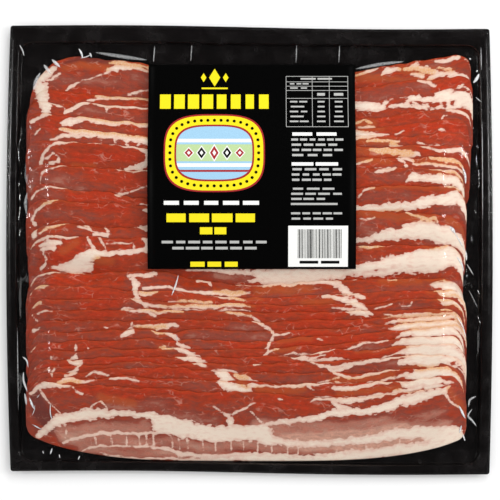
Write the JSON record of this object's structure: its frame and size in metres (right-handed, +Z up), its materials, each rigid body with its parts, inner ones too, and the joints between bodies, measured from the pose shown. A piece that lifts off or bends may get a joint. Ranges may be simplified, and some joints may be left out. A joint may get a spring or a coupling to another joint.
{
  "type": "vacuum pack of sliced bacon",
  "caption": "Flat vacuum pack: streaky bacon rashers laid like shingles on a black plastic tray, under a clear film with a square black label.",
  "frame": {"origin": "centre of the flat underside of the tray, in the middle of the pack's outline", "axes": "+Z up out of the clear side, +X along the rashers to the right, +Y towards the label's top edge"},
  "size_m": [0.2774, 0.2564, 0.0259],
  "materials": {
    "black_web": "black thermoformed plastic web, glossy with a fine haze",
    "clear_film": null,
    "label_stock": null,
    "cured_pork": null
  },
  "bodies": {
    "root": {"tray": "black_web", "rasher_01": "cured_pork", "rasher_02": "cured_pork", "rasher_03": "cured_pork", "rasher_04": "cured_pork", "rasher_05": "cured_pork", "rasher_06": "cured_pork", "rasher_07": "cured_pork", "rasher_08": "cured_pork", "rasher_09": "cured_pork", "rasher_10": "cured_pork", "rasher_11": "cured_pork", "rasher_12": "cured_pork", "rasher_13": "cured_pork", "rasher_14": "cured_pork", "rasher_15": "cured_pork", "rasher_16": "cured_pork", "rasher_17": "cured_pork", "rasher_18": "cured_pork", "rasher_19": "cured_pork", "rasher_20": "cured_pork", "rasher_21": "cured_pork", "rasher_22": "cured_pork", "rasher_23": "cured_pork", "rasher_24": "cured_pork", "top_film": "clear_film", "label": "label_stock"}
  },
  "joints": []
}
